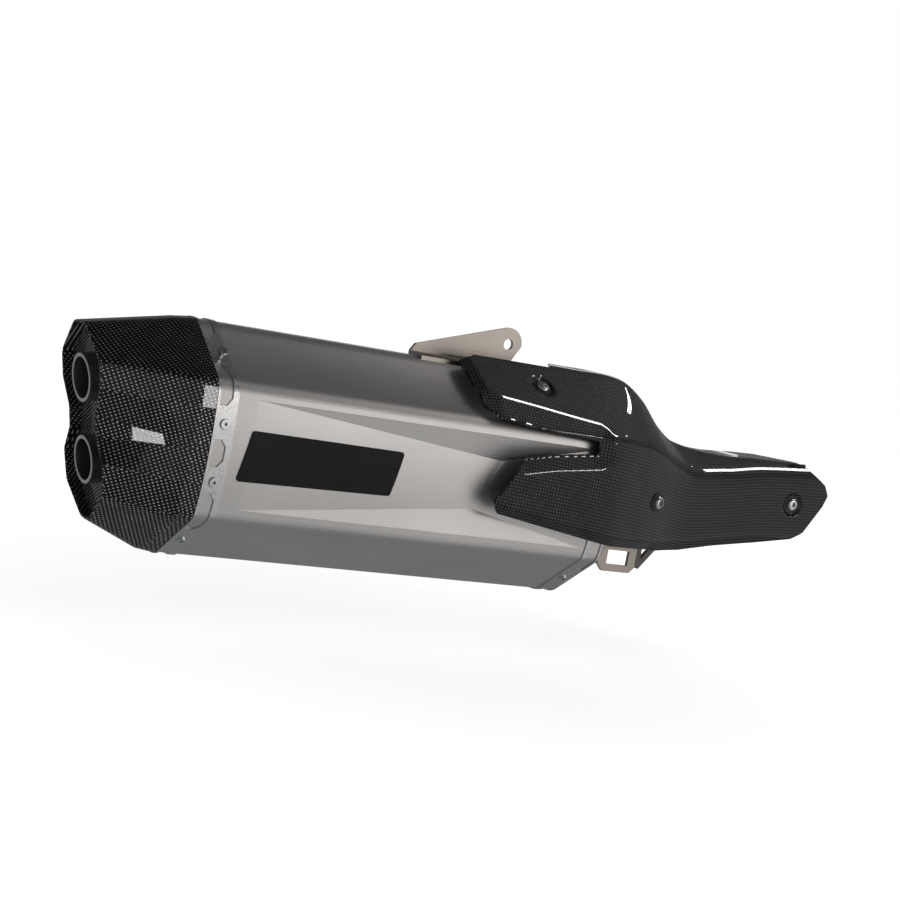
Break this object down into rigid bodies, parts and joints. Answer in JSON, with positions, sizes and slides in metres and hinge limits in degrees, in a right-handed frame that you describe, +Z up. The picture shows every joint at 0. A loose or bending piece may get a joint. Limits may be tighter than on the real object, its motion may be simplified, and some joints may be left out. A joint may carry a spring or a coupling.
{
  "type": "motorcycle exhaust silencer",
  "caption": "Slip-on motorcycle silencer with a faceted sleeve, a waisted carbon end cap with twin outlets, a link pipe, a pipe clamp and a carbon heat shield.",
  "frame": {"origin": "centre of the inlet sleeve's mouth", "axes": "+X out of the inlet's mouth along its bore and parallel to the silencer's axis, towards the engine; +Z up as fitted; -Y is the outer side, with the badge and the heat shield"},
  "size_m": [0.6942, 0.1491, 0.209],
  "materials": {
    "titanium": "satin titanium sheet with soft creases",
    "band_metal": "fine speckled satin",
    "rivet_metal": "bright",
    "carbon": "clear-coated plain weave carbon fibre",
    "badge_black": "black with no lettering",
    "outlet_steel": "dark, sooted inside, bright lip",
    "inner_steel": "plain",
    "wool": "loose mineral fibre",
    "steel_wool": "matted wire",
    "pipe_metal": "satin, straw heat tint",
    "weld_metal": "rippled, faint blue and straw",
    "clamp_steel": "satin",
    "bracket_metal": "warm grey satin",
    "screw_metal": "bright",
    "silicone": "matt"
  },
  "bodies": {
    "silencer": {"outer_sleeve": "titanium", "rear_band": "band_metal", "front_band": "band_metal", "rear_rivets": "rivet_metal", "front_rivets": "rivet_metal", "name_badge": "badge_black", "end_cap": "carbon", "outlet_tube_upper": "outlet_steel", "outlet_tube_lower": "outlet_steel", "rear_bulkhead": "inner_steel", "mid_baffle": "inner_steel", "perforated_core": "inner_steel", "steel_wool_wrap": "steel_wool", "damping_wool": "wool", "front_cap": "titanium", "link_pipe": "pipe_metal", "inlet_sleeve": "pipe_metal", "weld_beads": "weld_metal", "hanger_plate": "bracket_metal", "lower_bracket": "bracket_metal", "heat_shield": "carbon", "shield_bushes": "silicone", "shield_washers": "silicone", "shield_screws": "screw_metal", "upper_shield_boss": "bracket_metal", "middle_shield_bracket": "bracket_metal", "front_shield_bracket": "bracket_metal"},
    "clamp": {"clamp_band": "clamp_steel", "clamp_nut": "clamp_steel", "clamp_washer": "clamp_steel"},
    "clamp_bolt": {"clamp_bolt": "screw_metal"}
  },
  "joints": [
    {"name": "clamp_turn", "type": "hinge", "parent": "silencer", "child": "clamp", "pos_m": [-0.014, 0, 0], "axis": [1, 0, 0], "range_deg": [-30, 30]},
    {"name": "clamp_bolt_turn", "type": "hinge", "parent": "clamp", "child": "clamp_bolt", "pos_m": [-0.014, 0.0402, 0], "axis": [0, 0, 1], "continuous": true}
  ]
}
